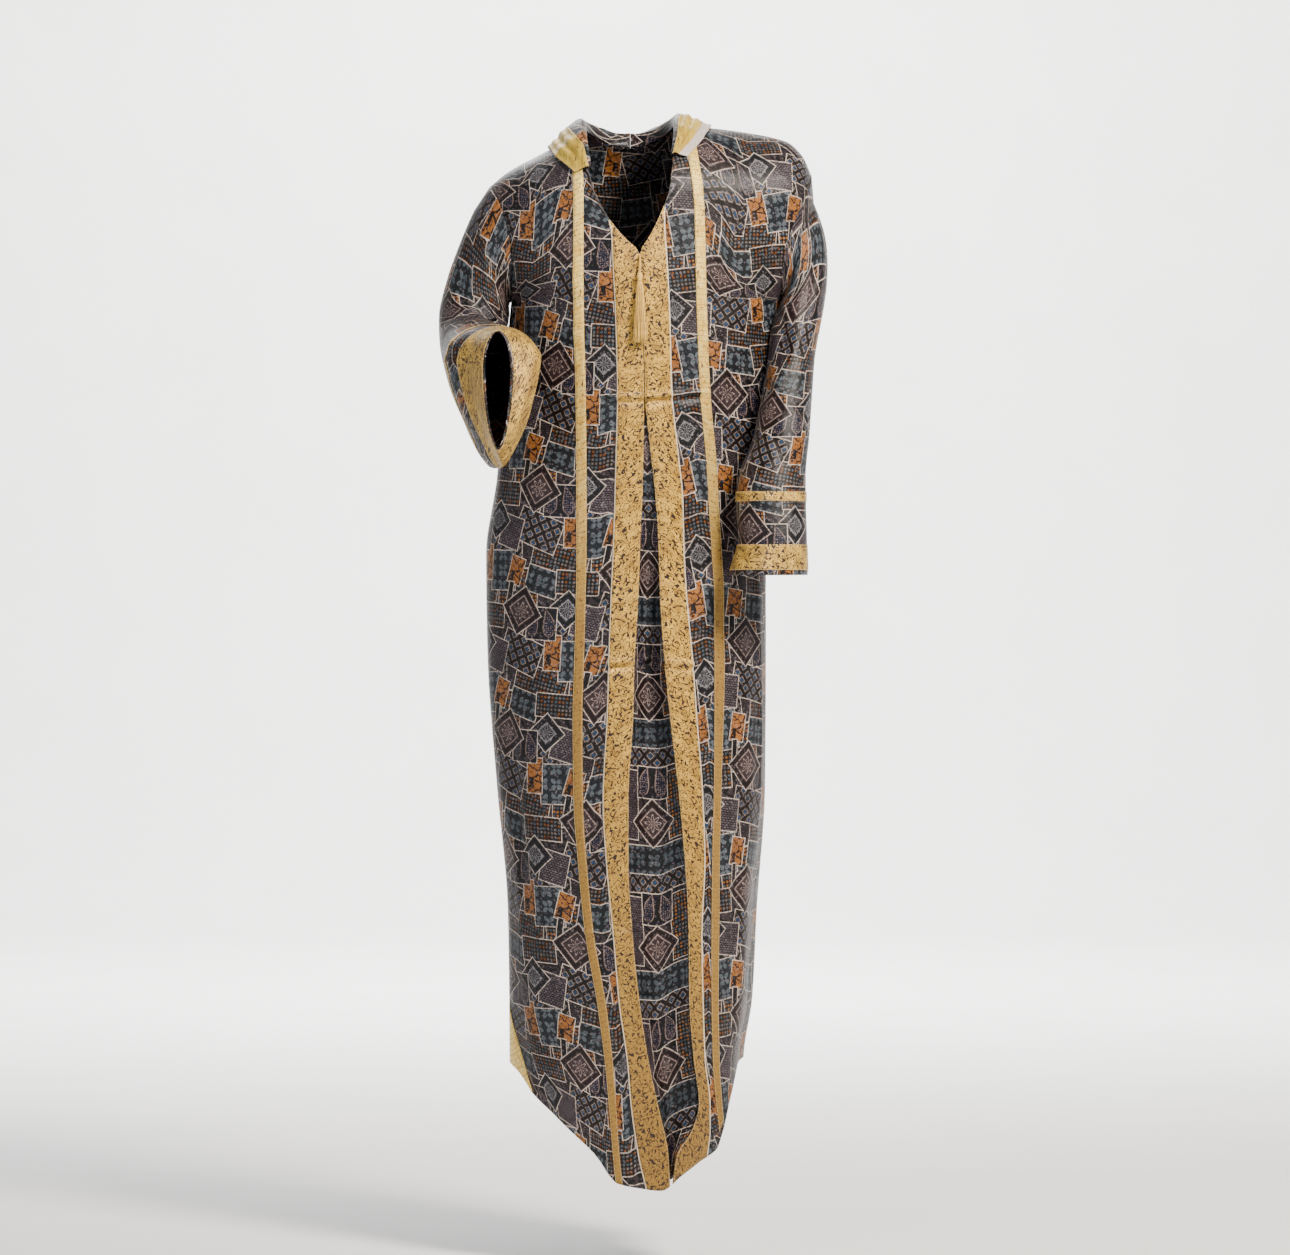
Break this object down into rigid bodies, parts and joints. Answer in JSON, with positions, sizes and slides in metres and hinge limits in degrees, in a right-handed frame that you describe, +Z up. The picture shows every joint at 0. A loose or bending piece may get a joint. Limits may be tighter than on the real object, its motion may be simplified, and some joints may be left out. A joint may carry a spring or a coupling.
{
  "type": "hooded abaya",
  "caption": "Long hooded abaya in patchwork-printed satin, worn form: V neck with brocade bands, inverted front pleat, curved hem, hood lying down, tassel.",
  "frame": {"origin": "the middle of the neck, on the line of the shoulders, where the wearer carries the garment", "axes": "+Z up along the body, the front faces -Y, the wearer's left is at +X"},
  "size_m": [0.5309, 0.3826, 1.4657],
  "materials": {
    "print": "satin with a dark patchwork print",
    "brocade": "woven gold brocade",
    "thread": "twisted rayon thread"
  },
  "bodies": {
    "root": {"front_panel_right": "print", "front_band_right": "brocade", "side_trim_right": "brocade", "vent_trim_right": "brocade", "front_panel_left": "print", "front_band_left": "brocade", "side_trim_left": "brocade", "back_panel": "print", "pleat_inset": "print", "sleeve_right": "print", "cuff_trim_right": "brocade", "cuff_band_right": "brocade", "sleeve_left": "print", "cuff_trim_left": "brocade", "cuff_band_left": "brocade", "hood_right": "print", "hood_band_right": "brocade", "hood_left": "print", "hood_band_left": "brocade", "tassel": "thread"}
  },
  "joints": []
}
